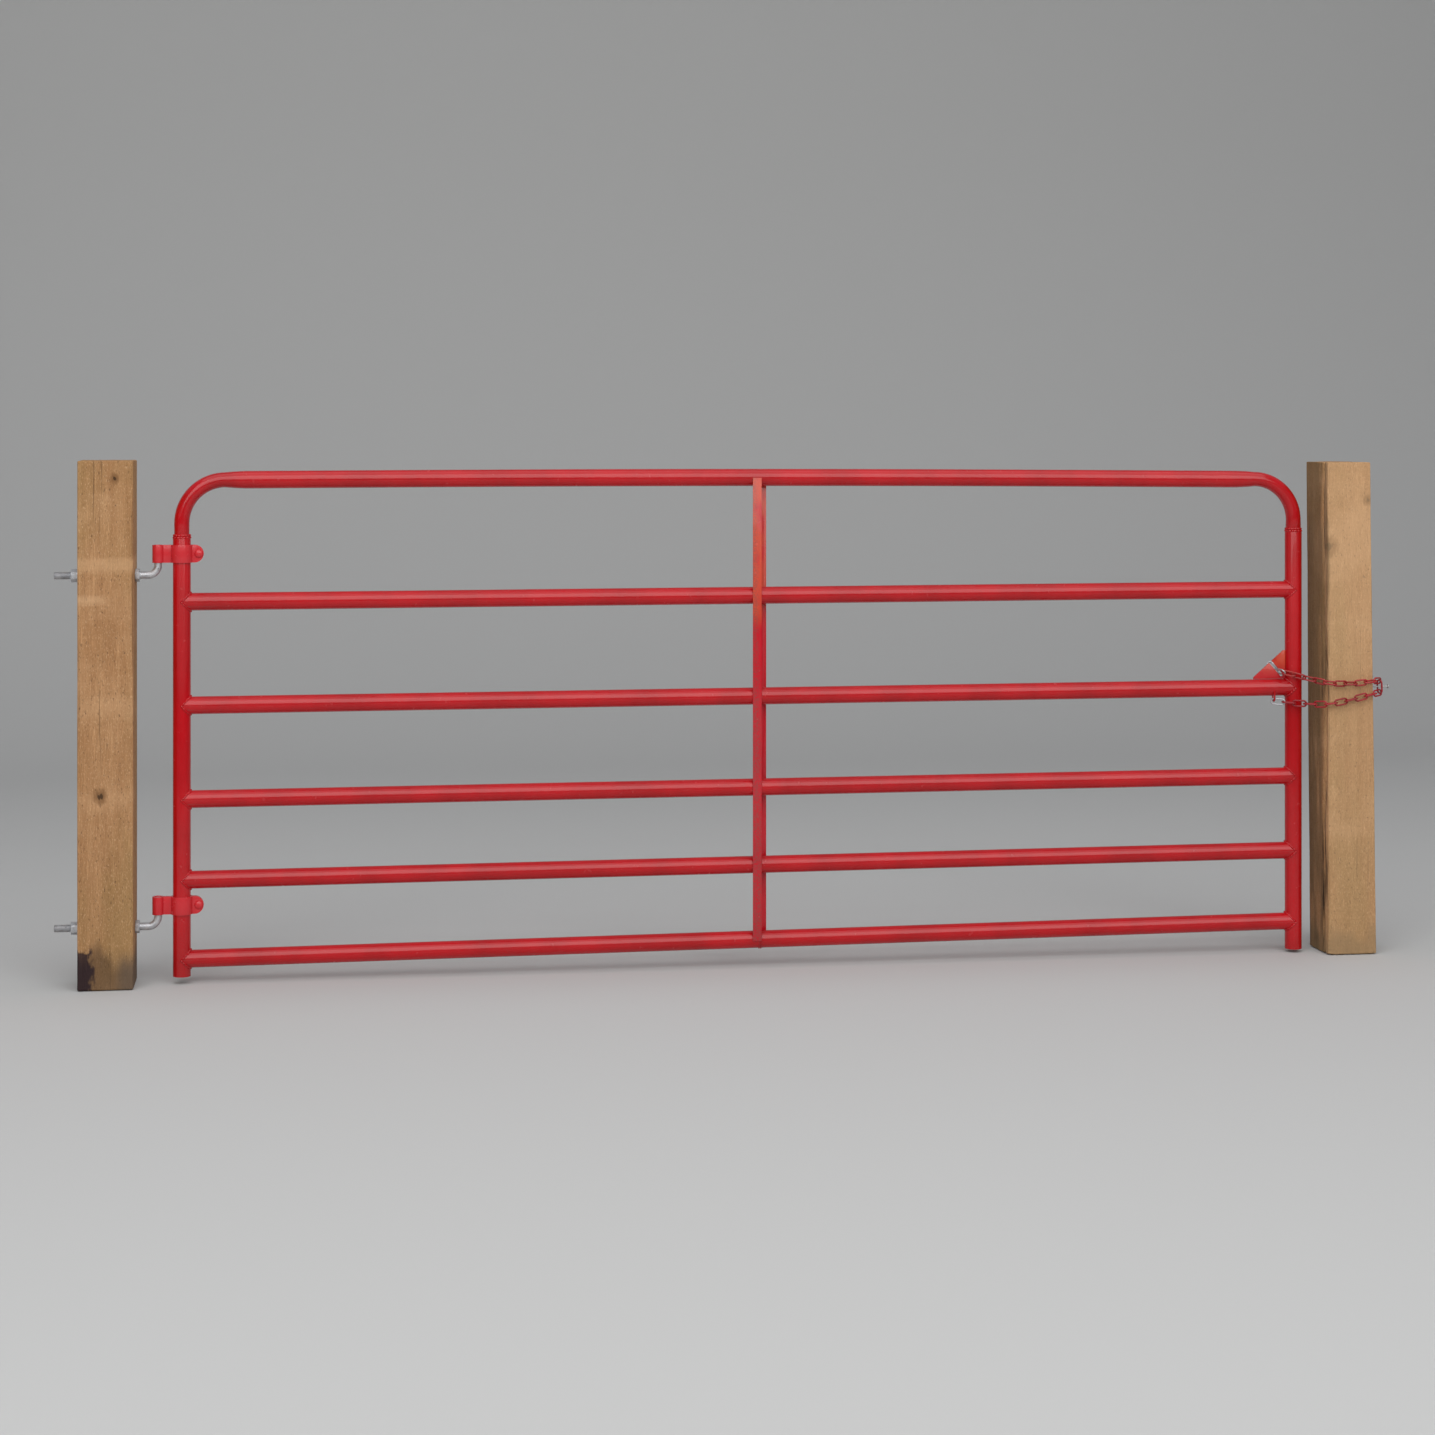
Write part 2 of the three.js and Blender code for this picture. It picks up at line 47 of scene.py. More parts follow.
# Camera, floor and light.
# The camera is level and looks down at the gate by its shift alone. The floor is one pale sheet
# that curves up behind the gate, lit by two large soft lamps and a sky that is bright low down.
CAMERA_PLACE = (0.551, -6.9315, 1.42)
CAMERA_TURN = -8.07
SENSOR_WIDTH = 36.0
LENS_LENGTH = 68.387456
CAMERA_SHIFT = -0.211
GATE_MIDDLE = (1.6, 0, 0.6)

camera_turn = (math.radians(90), 0, math.radians(CAMERA_TURN))
bpy.ops.object.camera_add(location=CAMERA_PLACE, rotation=camera_turn)
camera = bpy.context.object
camera.data.sensor_width = SENSOR_WIDTH
camera.data.lens = LENS_LENGTH
camera.data.shift_y = CAMERA_SHIFT
bpy.context.scene.camera = camera
bpy.context.scene.view_settings.view_transform = "Standard"

FLOOR_SIZE = (120, 90)
FLOOR_DROP = 0.001
FLOOR_TONE = (0.55, 0.55, 0.54, 1)
WALL_Y = 7.0
WALL_HEIGHT = 9.0
COVE = 3.0
floor_place = (GATE_MIDDLE[0], WALL_Y - FLOOR_SIZE[1] / 2, -FLOOR_DROP)
bpy.ops.mesh.primitive_plane_add(size=1, location=floor_place)
floor = bpy.context.object
floor.name = "floor"
floor.scale = (*FLOOR_SIZE, 1)
bpy.ops.object.transform_apply(location=True, rotation=True, scale=True)


def pick(piece, kind, is_wanted):
    """Leaves piece in edit mode with only the wanted vertices or edges selected."""
    bpy.ops.object.mode_set(mode="EDIT")
    bpy.ops.mesh.select_mode(type=kind)
    bpy.ops.mesh.select_all(action="DESELECT")
    bpy.ops.object.mode_set(mode="OBJECT")
    mesh = piece.data
    if kind == "VERT":
        for vertex in mesh.vertices:
            vertex.select = is_wanted(vertex.co)
    else:
        for edge in mesh.edges:
            edge.select = is_wanted(*[mesh.vertices[i].co for i in edge.vertices])
    bpy.ops.object.mode_set(mode="EDIT")


def extrude(step):
    bpy.ops.mesh.extrude_region_move(TRANSFORM_OT_translate={"value": step})


BACK_EDGE = WALL_Y - 0.1
pick(floor, "EDGE", lambda a, b: min(a.y, b.y) > BACK_EDGE)
extrude((0, 0, WALL_HEIGHT))
pick(floor, "EDGE", lambda a, b: min(a.y, b.y) > BACK_EDGE and max(a.z, b.z) < WALL_HEIGHT / 2)
bpy.ops.mesh.bevel(offset=COVE, segments=16, affect="EDGES")
bpy.ops.object.mode_set(mode="OBJECT")
bpy.ops.object.shade_smooth()

floor_paint = bpy.data.materials.new("floor_paint")
floor_paint.use_nodes = True
floor_shader = floor_paint.node_tree.nodes["Principled BSDF"]
floor_shader.inputs["Base Color"].default_value = FLOOR_TONE
floor_shader.inputs["Roughness"].default_value = 0.9
floor.data.materials.append(floor_paint)

SKY_STRENGTH = 0.50
SKY_BELOW = (0.03, 0.03, 0.03, 1)
SKY_OVERHEAD = (0.50, 0.52, 0.58, 1)
HORIZON_TONES = ((0.025, 0.03), (0.05, 1.0), (0.11, 1.0), (0.18, 0.52))
sky = bpy.data.worlds.new("sky")
bpy.context.scene.world = sky
sky.use_nodes = True
sky_up = sky.node_tree.nodes.new("ShaderNodeSeparateXYZ")
sky_tone = sky.node_tree.nodes.new("ShaderNodeValToRGB")
sky_tone.color_ramp.elements[0].color = SKY_BELOW
sky_tone.color_ramp.elements[1].color = SKY_OVERHEAD
for height, tone in HORIZON_TONES:
    sky_tone.color_ramp.elements.new(height).color = (tone, tone, tone, 1)
sky_place = sky.node_tree.nodes.new("ShaderNodeTexCoord")
sky.node_tree.links.new(sky_place.outputs["Generated"], sky_up.inputs[0])
sky.node_tree.links.new(sky_up.outputs["Z"], sky_tone.inputs[0])
sky.node_tree.links.new(sky_tone.outputs[0], sky.node_tree.nodes["Background"].inputs["Color"])
sky.node_tree.nodes["Background"].inputs["Strength"].default_value = SKY_STRENGTH

for name, place, size, power in (
    ("key_lamp", (1.0, -6.2, 4.9), (12.0, 6.0), 470),
    ("top_lamp", (1.6, -1.0, 5.5), (8.0, 5.0), 110),
):
    bpy.ops.object.light_add(type="AREA", location=place)
    lamp = bpy.context.object
    lamp.name = name
    lamp.data.shape = "RECTANGLE"
    lamp.data.size, lamp.data.size_y = size
    lamp.visible_camera = False
    lamp.data.energy = power
    lamp.rotation_euler = (Vector(GATE_MIDDLE) - Vector(place)).to_track_quat("-Z", "Y").to_euler()

# Timber posts.
# Sawn 6 x 6 softwood, treated green and gone tan, planted in the ground. The faces are a little
# wavy from the saw, and the long edges are worn. The hinge post is bored for the two hook bolts.
POST_EDGE = 0.004
LONG_EDGE = 0.1
CELLS_UP = 180
CELLS_ACROSS = 26
SAWN_DEPTH = 0.0012
SAW_WAVE = 0.02
ALONG_X = (0, math.radians(90), 0)

FRESH_TAN = (0.56, 0.300, 0.138, 1)
BAND_TAN = (0.42, 0.205, 0.085, 1)
FIBRE_BROWN = (0.27, 0.130, 0.052, 1)
TREATED_GREEN = (0.330, 0.220, 0.080, 1)
BLEACHED_TAN = (0.68, 0.400, 0.210, 1)
PALE_FLECK = (0.78, 0.50, 0.28, 1)
CHECK_BROWN = (0.15, 0.080, 0.034, 1)
SPECK_BROWN = (0.11, 0.060, 0.032, 1)
KNOT_RING = (0.24, 0.115, 0.045, 1)
KNOT_HEART = (0.055, 0.028, 0.014, 1)
KNOT_TALLNESS = 1.2
GRAIN_STRETCH = 0.07


def put(tree, value, socket):
    """Feeds a socket with another node's output, or sets it to a plain value."""
    if isinstance(value, bpy.types.NodeSocket):
        tree.links.new(value, socket)
    else:
        socket.default_value = value


def calc(tree, operation, first, second=0.0):
    node = tree.nodes.new("ShaderNodeMath")
    node.operation = operation
    put(tree, first, node.inputs[0])
    put(tree, second, node.inputs[1])
    return node.outputs[0]


def times(tree, first, second):
    return calc(tree, "MULTIPLY", first, second)


def plus(tree, first, second):
    return calc(tree, "ADD", first, second)


def less(tree, first, second):
    return calc(tree, "SUBTRACT", first, second)


def ramp(tree, value, start, stop, low=0.0, high=1.0):
    """Runs from low to high as value goes from start to stop."""
    node = tree.nodes.new("ShaderNodeMapRange")
    node.interpolation_type = "SMOOTHSTEP"
    for socket, number in zip(node.inputs[:5], (value, start, stop, low, high)):
        put(tree, number, socket)
    return node.outputs[0]


def band(tree, height, edges):
    """1 between the two middle edges, and fading to 0 at the outer two."""
    start, full, fading, stop = edges
    return times(tree, ramp(tree, height, start, full), ramp(tree, height, stop, fading))


def tint(tree, base, colour, mask):
    """Lays a colour over another where the mask is 1."""
    node = tree.nodes.new("ShaderNodeMix")
    node.data_type = "RGBA"
    put(tree, mask, node.inputs[0])
    put(tree, base, node.inputs[6])
    put(tree, colour, node.inputs[7])
    return node.outputs[2]


def new_mottle_group():
    """Soft patches, so many to the metre across (X, Y) and along (Z)."""
    group = bpy.data.node_groups.new("mottle", "ShaderNodeTree")
    for name in ("Across", "Along", "Start", "Stop"):
        group.interface.new_socket(name, in_out="INPUT", socket_type="NodeSocketFloat")
    group.interface.new_socket("Mask", in_out="OUTPUT", socket_type="NodeSocketFloat")
    given = group.nodes.new("NodeGroupInput")
    result = group.nodes.new("NodeGroupOutput")
    place = group.nodes.new("ShaderNodeTexCoord").outputs["Object"]
    scale = group.nodes.new("ShaderNodeCombineXYZ")
    for axis, name in enumerate(("Across", "Across", "Along")):
        group.links.new(given.outputs[name], scale.inputs[axis])
    stretched = group.nodes.new("ShaderNodeVectorMath")
    stretched.operation = "MULTIPLY"
    group.links.new(place, stretched.inputs[0])
    group.links.new(scale.outputs[0], stretched.inputs[1])
    noise = group.nodes.new("ShaderNodeTexNoise")
    noise.inputs["Scale"].default_value = 1.0
    noise.inputs["Detail"].default_value = 6.0
    group.links.new(stretched.outputs[0], noise.inputs["Vector"])
    mask = ramp(group, noise.outputs[0], given.outputs["Start"], given.outputs["Stop"])
    group.links.new(mask, result.inputs["Mask"])
    return group


mottle_group = new_mottle_group()


def mottle(tree, across, along, start=0.35, stop=0.65):
    node = tree.nodes.new("ShaderNodeGroup")
    node.node_tree = mottle_group
    for name, value in (("Across", across), ("Along", along), ("Start", start), ("Stop", stop)):
        node.inputs[name].default_value = value
    return node.outputs["Mask"]


def bump(tree, height, depth, strength=1.0):
    node = tree.nodes.new("ShaderNodeBump")
    node.inputs["Distance"].default_value = depth
    node.inputs["Strength"].default_value = strength
    put(tree, height, node.inputs["Height"])
    return node.outputs[0]


def new_material(name):
    material = bpy.data.materials.new(name)
    material.use_nodes = True
    tree = material.node_tree
    place = tree.nodes.new("ShaderNodeSeparateXYZ")
    tree.links.new(tree.nodes.new("ShaderNodeTexCoord").outputs["Object"], place.inputs[0])
    return material, tree, tree.nodes["Principled BSDF"], place.outputs


def knot_distance(tree, place, knot):
    """Distance from the heart of a knot in a front face, in knot radii."""
    across, up, radius = knot
    off_x = calc(tree, "DIVIDE", less(tree, place[0], across), radius)
    off_z = calc(tree, "DIVIDE", less(tree, place[2], up), radius * KNOT_TALLNESS)
    squares = plus(tree, calc(tree, "POWER", off_x, 2.0), calc(tree, "POWER", off_z, 2.0))
    return calc(tree, "SQRT", squares)


def growth_bands(tree, place, knots, is_front):
    """Bands of growth up the post, which bow out round the knots."""
    swell = 0.0
    for knot in knots:
        near = ramp(tree, knot_distance(tree, place, knot), 3.2, 0.0)
        pushed = times(tree, near, less(tree, place[0], knot[0]))
        swell = plus(tree, swell, times(tree, pushed, is_front))
    bowed = less(tree, place[0], times(tree, swell, 0.75))
    grain_place = tree.nodes.new("ShaderNodeCombineXYZ")
    for axis, value in enumerate((bowed, place[1], times(tree, place[2], GRAIN_STRETCH))):
        put(tree, value, grain_place.inputs[axis])
    rings = tree.nodes.new("ShaderNodeTexNoise")
    rings.inputs["Scale"].default_value = 55.0
    rings.inputs["Detail"].default_value = 9.0
    rings.inputs["Roughness"].default_value = 0.62
    tree.links.new(grain_place.outputs[0], rings.inputs["Vector"])
    return times(tree, ramp(tree, rings.outputs[0], 0.36, 0.70), 0.75)


def add_knots(tree, place, knots, is_front, colour):
    """A dark heart and a softer ring for each knot in the front face."""
    for knot in knots:
        distance = knot_distance(tree, place, knot)
        distance = plus(tree, distance, times(tree, mottle(tree, 120.0, 60.0), 0.35))
        ring = times(tree, ramp(tree, distance, 1.9, 0.9), is_front)
        colour = tint(tree, colour, KNOT_RING, times(tree, ring, 0.75))
        heart = times(tree, ramp(tree, distance, 0.75, 0.45), is_front)
        colour = tint(tree, colour, KNOT_HEART, times(tree, heart, 0.85))
    return colour


def sawn_relief(tree, fibres, hollows):
    """Raised fibres and the saw's fine waves across the post, less the checks and specks."""
    saw = tree.nodes.new("ShaderNodeTexWave")
    saw.bands_direction = "Z"
    saw.inputs["Scale"].default_value = 28.0
    saw.inputs["Distortion"].default_value = 2.5
    saw.inputs["Detail Scale"].default_value = 4.0
    tree.links.new(tree.nodes.new("ShaderNodeTexCoord").outputs["Object"], saw.inputs["Vector"])
    height = plus(tree, fibres, times(tree, saw.outputs[1], 0.25))
    return less(tree, height, times(tree, hollows, 1.2))


def timber(name, knots, foot_height, foot_colour):
    """Sawn softwood: bands and fine fibres up the post, knots, saw marks and a darker colour towards the
    bottom.
    """
    material, tree, shader, place = new_material(name)
    is_front = ramp(tree, place[1], -0.03, -0.05)
    fibres = mottle(tree, 700.0, 26.0, 0.34, 0.62)
    checks = times(tree, mottle(tree, 130.0, 2.0, 0.64, 0.70), 0.6)
    specks = times(tree, mottle(tree, 320.0, 110.0, 0.62, 0.72), 0.7)
    colour = tint(tree, FRESH_TAN, BAND_TAN, growth_bands(tree, place, knots, is_front))
    for layer, mask in (
        (FIBRE_BROWN, times(tree, fibres, 0.42)),
        (TREATED_GREEN, times(tree, mottle(tree, 7.0, 1.6, 0.42, 0.66), 0.42)),
        (BLEACHED_TAN, times(tree, mottle(tree, 3.0, 5.0, 0.50, 0.66), 0.45)),
        (PALE_FLECK, times(tree, mottle(tree, 520.0, 150.0, 0.54, 0.68), 0.45)),
        (CHECK_BROWN, checks),
        (SPECK_BROWN, specks),
    ):
        colour = tint(tree, colour, layer, mask)
    colour = add_knots(tree, place, knots, is_front, colour)
    # Towards the bottom the colour is laid darker, up to a ragged edge.
    foot_edge_height = plus(tree, place[2], times(tree, mottle(tree, 14.0, 6.0), 0.06))
    darker_foot = ramp(tree, foot_edge_height, foot_height + 0.05, foot_height - 0.02)
    colour = tint(tree, colour, foot_colour, times(tree, darker_foot, 0.72))
    relief = sawn_relief(tree, fibres, plus(tree, specks, checks))
    put(tree, bump(tree, relief, 0.0012, 0.7), shader.inputs["Normal"])
    put(tree, ramp(tree, fibres, 0.0, 1.0, 0.72, 0.92), shader.inputs["Roughness"])
    shader.inputs["Specular IOR Level"].default_value = 0.25
    return material, tree, shader, place, colour


def apply_modifiers(piece):
    for modifier in list(piece.modifiers):
        bpy.ops.object.modifier_apply(modifier=modifier.name)


def cut_away(piece, cutter):
    """Cuts the cutter's shape out of a piece and throws the cutter away."""
    bpy.context.view_layer.objects.active = piece
    cut = piece.modifiers.new("cut", "BOOLEAN")
    cut.object = cutter
    apply_modifiers(piece)
    bpy.data.objects.remove(cutter)


def press_in(piece, group_name, weight, texture_size, stretch, depth):
    """Presses the surface in, unevenly, by up to depth where weight says so."""
    group = piece.vertex_groups.new(name=group_name)
    for vertex in piece.data.vertices:
        share = weight(vertex.co)
        if share > 0:
            group.add([vertex.index], min(share, 1.0), "REPLACE")
    texture = bpy.data.textures.new(group_name, "CLOUDS")
    texture.noise_scale = texture_size
    texture.noise_depth = 3
    bpy.ops.object.empty_add()
    ruler = bpy.context.object
    ruler.scale = (1, 1, stretch)
    bpy.context.view_layer.update()
    bpy.context.view_layer.objects.active = piece
    ruler.select_set(False)
    piece.select_set(True)
    dents = piece.modifiers.new(group_name, "DISPLACE")
    dents.texture = texture
    dents.texture_coords = "OBJECT"
    dents.texture_coords_object = ruler
    dents.mid_level = 0.0
    dents.strength = -depth
    dents.vertex_group = group_name
    apply_modifiers(piece)
    bpy.data.objects.remove(ruler)


def sawn_post(name, node, shape_ends=None):
    """A post of the CAD node's size, in small cells, with worn edges and a wavy sawn surface."""
    low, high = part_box(node)
    bpy.ops.mesh.primitive_cube_add(size=1, location=(low + high) / 2, scale=high - low)
    post = bpy.context.object
    post.name = name
    bpy.ops.object.transform_apply(location=True, rotation=True, scale=True)
    if shape_ends:
        shape_ends(post, low, high)
    bpy.ops.object.mode_set(mode="EDIT")
    bpy.ops.mesh.select_all(action="SELECT")
    bpy.ops.mesh.bevel(offset=POST_EDGE, segments=3, affect="EDGES")
    for axis, cells in ((2, CELLS_UP), (0, CELLS_ACROSS), (1, CELLS_ACROSS)):
        pick(post, "EDGE", lambda a, b: abs(a[axis] - b[axis]) > LONG_EDGE)
        bpy.ops.mesh.subdivide(number_cuts=cells)
    bpy.ops.object.mode_set(mode="OBJECT")
    press_in(post, node + "_sawing", lambda co: 1.0, SAW_WAVE, 10.0, SAWN_DEPTH)
    return post


def clad(piece, material, body, nodes=()):
    """Gives a finished piece its material, its body and the nodes it stands for."""
    piece.data.materials.clear()
    piece.data.materials.append(material)
    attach(piece, body)
    if nodes:
        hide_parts(*nodes)


BORE_RADIUS = 0.0101
BORE_LENGTH = 0.2
hinge_post = sawn_post("hinge_post_timber", "hinge_post")
for rod in ("upper_hook_bolt", "lower_hook_bolt"):
    low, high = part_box(rod)
    bore_place = (0, 0, low.z + (high.y - low.y) / 2)
    bpy.ops.mesh.primitive_cylinder_add(
        vertices=32, radius=BORE_RADIUS, depth=BORE_LENGTH, location=bore_place, rotation=ALONG_X)
    cut_away(hinge_post, bpy.context.object)

HINGE_KNOTS = [(-0.012, 0.479, 0.013), (0.022, 1.262, 0.009)]
HINGE_FOOT = 0.105
HINGE_FOOT_BROWN = (0.105, 0.060, 0.030, 1)
BOTTOM_LEFT_BLACK = (0.020, 0.010, 0.018, 1)
FOOT_GREY = (0.13, 0.105, 0.085, 1)
LIGHT_BAND_TAN = (0.70, 0.42, 0.22, 1)
LIGHT_BAND_PALE = (0.72, 0.44, 0.24, 1)
hinge_timber, tree, shader, place, colour = timber(
    "hinge_post_timber", HINGE_KNOTS, HINGE_FOOT, HINGE_FOOT_BROWN)
# Near the bottom: a near-black patch at the left of the front face, and a grey patch on the right side.
ragged_x = plus(tree, place[0], times(tree, mottle(tree, 60.0, 30.0), 0.02))
ragged_z = plus(tree, place[2], times(tree, mottle(tree, 45.0, 45.0), 0.02))
bottom_left_patch = times(tree, ramp(tree, ragged_x, -0.015, -0.03), ramp(tree, ragged_z, 0.118, 0.100))
bottom_left_patch = times(tree, bottom_left_patch, ramp(tree, place[1], -0.035, -0.055))
colour = tint(tree, colour, BOTTOM_LEFT_BLACK, times(tree, bottom_left_patch, 0.9))
grey_patch = times(tree, ramp(tree, place[0], 0.015, 0.05), ramp(tree, place[2], 0.11, 0.05))
colour = tint(tree, colour, FOOT_GREY, times(tree, grey_patch, 0.5))
# Painted light: two soft lighter bands across the post, the lower one only on its left half.
upper_light_band = band(tree, place[2], (1.02, 1.045, 1.056, 1.075))
colour = tint(tree, colour, LIGHT_BAND_TAN, times(tree, upper_light_band, 0.5))
lower_light_band = band(tree, place[2], (0.945, 0.962, 0.966, 0.978))
lower_light_band = times(tree, lower_light_band, ramp(tree, place[0], 0.02, -0.02))
colour = tint(tree, colour, LIGHT_BAND_PALE, times(tree, lower_light_band, 0.5))
put(tree, colour, shader.inputs["Base Color"])
clad(hinge_post, hinge_timber, "posts", ["hinge_post"])

LATCH_TOP_SCALE = 120 / 136.5
LATCH_TOP_SHIFT = 0.010


def taper_top(post, low, high):
    """The latch post narrows towards its top, and its back is twisted to the left there."""
    middle = (low + high) / 2
    pick(post, "VERT", lambda co: co.x < middle.x)
    bpy.ops.transform.translate(value=(LATCH_TOP_SHIFT, 0, 0))
    pick(post, "VERT", lambda co: co.z > middle.z)
    centre = (low.x + LATCH_TOP_SHIFT, 0, high.z)
    bpy.ops.transform.resize(value=(LATCH_TOP_SCALE, 1, 1), center_override=centre)
    pick(post, "VERT", lambda co: co.z > middle.z and co.y > 0)
    bpy.ops.transform.translate(value=(-LATCH_TOP_SHIFT, 0, 0))
    bpy.ops.object.mode_set(mode="OBJECT")


latch_post = sawn_post("latch_post_timber", "latch_post", taper_top)
latch_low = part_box("latch_post")[0]
WANE_TOP = 0.83
WANE_ACROSS = 0.03
WANE_BACK = 0.045
WANE_END = WANE_TOP + 0.04
WANE_FADE = 0.12
FACE_WEAR = 0.12
WANE_DEPTH = 0.013
CRACK_Y = -0.042
CRACK_HALF = 0.007
CRACK_DEPTH = 0.012


def wane(co):
    """Strongest on the left front edge below WANE_TOP, where the bark edge was."""
    beside = max(0.0, 1 - (co.x - latch_low.x) / WANE_ACROSS)
    before = max(0.0, 1 - (co.y - latch_low.y) / WANE_BACK)
    up = min(1.0, max(0.0, (WANE_END - co.z) / WANE_FADE))
    return FACE_WEAR + beside * before * up


def crack_weight(co):
    """A drying crack down the left face, which wanders a little as it goes."""
    if co.x > latch_low.x + 0.02:
        return 0.0
    wander = 0.004 * math.sin(7.0 * co.z) + 0.002 * math.sin(23.0 * co.z)
    return max(0.0, 1 - abs(co.y - CRACK_Y - wander) / CRACK_HALF)


press_in(latch_post, "wane", wane, 0.045, 6.0, WANE_DEPTH)
press_in(latch_post, "crack", crack_weight, 0.2, 3.0, CRACK_DEPTH)

LATCH_KNOTS = [(3.253, 1.196, 0.010), (3.148, 1.073, 0.018)]
LATCH_FOOT = 0.055
LATCH_FOOT_TAN = (0.26, 0.17, 0.085, 1)
FRONT_LIT_TAN = (0.86, 0.55, 0.30, 1)
SHADED_SIDE_BROWN = (0.120, 0.080, 0.036, 1)
BARK_BLACK = (0.018, 0.010, 0.007, 1)
CRACK_SHADE_BLACK = (0.030, 0.017, 0.010, 1)
latch_timber, tree, shader, place, colour = timber(
    "latch_post_timber", LATCH_KNOTS, LATCH_FOOT, LATCH_FOOT_TAN)
# Painted light: the front face is laid lighter, a little more so towards the top.
front_light = times(tree, ramp(tree, place[1], -0.03, -0.05), ramp(tree, place[2], 0.1, 0.9, 0.20, 0.34))
colour = tint(tree, colour, FRONT_LIT_TAN, front_light)
# Painted shade: the left face is laid darker, up to a ragged edge.
ragged_side = plus(tree, place[0], times(tree, mottle(tree, 40.0, 5.0), 0.008))
is_left = ramp(tree, ragged_side, latch_low.x + 0.022, latch_low.x + 0.012)
colour = tint(tree, colour, SHADED_SIDE_BROWN, times(tree, is_left, 0.6))
ragged_y = plus(tree, place[1], times(tree, mottle(tree, 60.0, 4.0), 0.03))
below_wane = ramp(tree, place[2], WANE_TOP + 0.01, WANE_TOP - 0.06)
bark = times(tree, ramp(tree, ragged_y, -0.01, -0.03), below_wane)
bark = times(tree, times(tree, bark, is_left), mottle(tree, 160.0, 9.0, 0.42, 0.56))
colour = tint(tree, colour, BARK_BLACK, times(tree, bark, 0.9))
# Painted shade: the drying crack in the left face is laid near black.
from_crack = calc(tree, "ABSOLUTE", less(tree, place[1], CRACK_Y))
from_crack = plus(tree, from_crack, times(tree, mottle(tree, 30.0, 3.5), 0.008))
crack = times(tree, ramp(tree, from_crack, 0.010, 0.004), is_left)
colour = tint(tree, colour, CRACK_SHADE_BLACK, times(tree, crack, 0.85))
put(tree, colour, shader.inputs["Base Color"])
clad(latch_post, latch_timber, "posts", ["latch_post"])

# Hook bolts, nuts and washers.
# Galvanised 3/4 in round bar, threaded at one end and bent up into a hinge pin at the other.
# A nut and washer on the far side and a jam nut on the gate side clamp each one to the post.
ROD_SIDES = 40
ROD_POINT = 0.8
PIN_X = 0.124
PIN_CHAMFER = 0.002
PIN_TIP = 0.85
HOOK_BEND = 0.024
HALF_PITCH = 0.00127
THREADS = 16
THREAD_ROOT = 0.88
WASHER_EDGE = 0.0006
NUT_EDGE = 0.0011


def new_edge_group():
    """Worn edges: 1 on sharp outward edges, broken up by soft patches."""
    group = bpy.data.node_groups.new("worn_edges", "ShaderNodeTree")
    group.interface.new_socket("Reach", in_out="INPUT", socket_type="NodeSocketFloat")
    group.interface.new_socket("Mask", in_out="OUTPUT", socket_type="NodeSocketFloat")
    given = group.nodes.new("NodeGroupInput")
    result = group.nodes.new("NodeGroupOutput")
    sharp = group.nodes.new("ShaderNodeNewGeometry").outputs["Pointiness"]
    start = less(group, 0.60, given.outputs["Reach"])
    edges = ramp(group, sharp, start, 0.66)
    worn = times(group, edges, mottle(group, 260.0, 260.0, 0.35, 0.6))
    group.links.new(worn, result.inputs["Mask"])
    return group


edge_group = new_edge_group()


def worn_edges(tree, reach):
    node = tree.nodes.new("ShaderNodeGroup")
    node.node_tree = edge_group
    node.inputs["Reach"].default_value = reach
    return node.outputs["Mask"]


ZINC_GREY = (0.56, 0.57, 0.59, 1)
ZINC_DULL = (0.40, 0.41, 0.43, 1)
ZINC_BLOOM = (0.66, 0.66, 0.67, 1)
ZINC_RUBBED = (0.78, 0.78, 0.79, 1)
GRIME = (0.16, 0.14, 0.12, 1)


def zinc(name, light, dull):
    """Hot dip zinc: a faint spangle, grey bloom in patches and brighter rubbed edges."""
    material, tree, shader, _ = new_material(name)
    spangle = tree.nodes.new("ShaderNodeTexVoronoi")
    spangle.inputs["Scale"].default_value = 420.0
    tree.links.new(tree.nodes.new("ShaderNodeTexCoord").outputs["Object"], spangle.inputs["Vector"])
    flakes = tree.nodes.new("ShaderNodeSeparateColor")
    tree.links.new(spangle.outputs["Color"], flakes.inputs[0])
    bloom = mottle(tree, 60.0, 45.0, 0.45, 0.62)
    colour = tint(tree, light, dull, times(tree, flakes.outputs[0], 0.5))
    colour = tint(tree, colour, ZINC_BLOOM, times(tree, bloom, 0.5))
    grime = times(tree, mottle(tree, 150.0, 120.0, 0.58, 0.70), 0.5)
    colour = tint(tree, colour, GRIME, grime)
    colour = tint(tree, colour, ZINC_RUBBED, worn_edges(tree, 0.05))
    put(tree, colour, shader.inputs["Base Color"])
    put(tree, ramp(tree, bloom, 0.0, 1.0, 0.34, 0.58), shader.inputs["Roughness"])
    put(tree, bump(tree, mottle(tree, 900.0, 900.0), 0.00025, 0.5), shader.inputs["Normal"])
    shader.inputs["Metallic"].default_value = 0.75
    return material


galvanised = zinc("galvanised", ZINC_GREY, ZINC_DULL)


def smooth(piece, degrees=35):
    bpy.ops.object.select_all(action="DESELECT")
    piece.select_set(True)
    bpy.context.view_layer.objects.active = piece
    bpy.ops.object.shade_smooth_by_angle(angle=math.radians(degrees))


def start_ring(name, radius, place, turn, sides):
    """An open ring of edges, all selected in edit mode, ready to be drawn out into a tube."""
    bpy.ops.mesh.primitive_circle_add(vertices=sides, radius=radius, location=place, rotation=turn)
    piece = bpy.context.object
    piece.name = name
    bpy.ops.object.transform_apply(location=True, rotation=True, scale=True)
    bpy.ops.object.mode_set(mode="EDIT")
    bpy.ops.mesh.select_all(action="SELECT")
    return piece


def face_outwards(fill_ends):
    bpy.ops.mesh.select_all(action="SELECT")
    if fill_ends:
        bpy.ops.mesh.fill_holes(sides=0)
    bpy.ops.mesh.normals_make_consistent(inside=False)
    bpy.ops.object.mode_set(mode="OBJECT")


